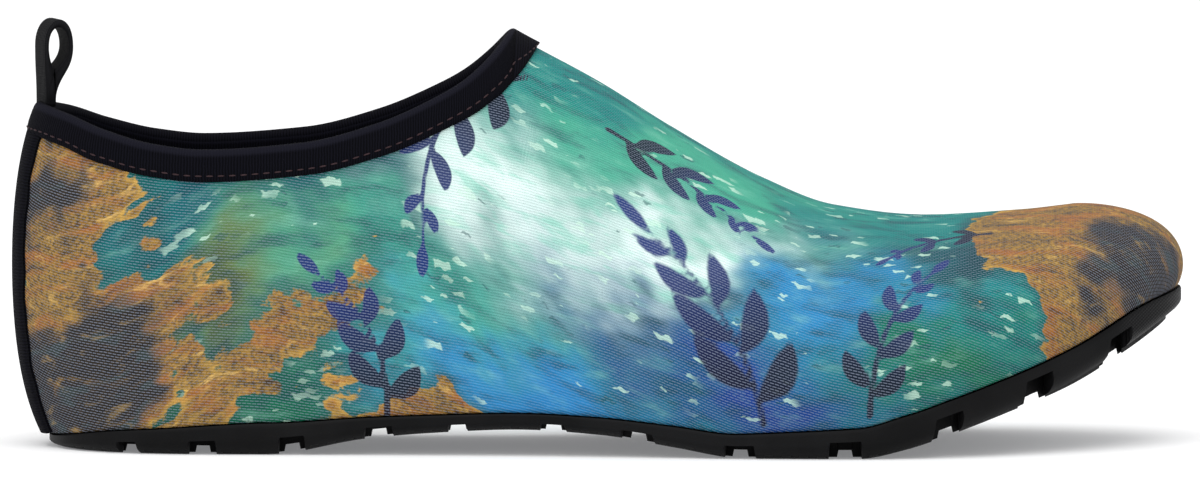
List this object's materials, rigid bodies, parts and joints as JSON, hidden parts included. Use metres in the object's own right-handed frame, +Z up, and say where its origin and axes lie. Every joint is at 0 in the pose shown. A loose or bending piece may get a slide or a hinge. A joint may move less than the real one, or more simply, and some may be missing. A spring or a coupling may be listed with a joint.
{
  "type": "water shoe",
  "caption": "Slip-on water shoe in printed stretch cloth with a black rubber sole, bound collar and heel loop, for the right foot.",
  "frame": {"origin": "under the middle of the shoe's box, on the floor that it stands on", "axes": "+X towards the toe, +Y towards the inner side of the right foot, +Z up"},
  "size_m": [0.27, 0.097, 0.0982],
  "materials": {
    "printed_cloth": "ribbed stretch cloth with a printed pattern, matt",
    "black_tape": "fine ribbed knit, matt",
    "black_webbing": "woven webbing, matt",
    "black_rubber": "moulded rubber, satin",
    "dark_foam": "cloth-covered foam, matt"
  },
  "bodies": {
    "root": {"outsole": "black_rubber", "upper": "printed_cloth", "insole": "dark_foam", "collar_binding": "black_tape", "heel_tape": "black_tape", "pull_loop": "black_webbing"}
  },
  "joints": []
}
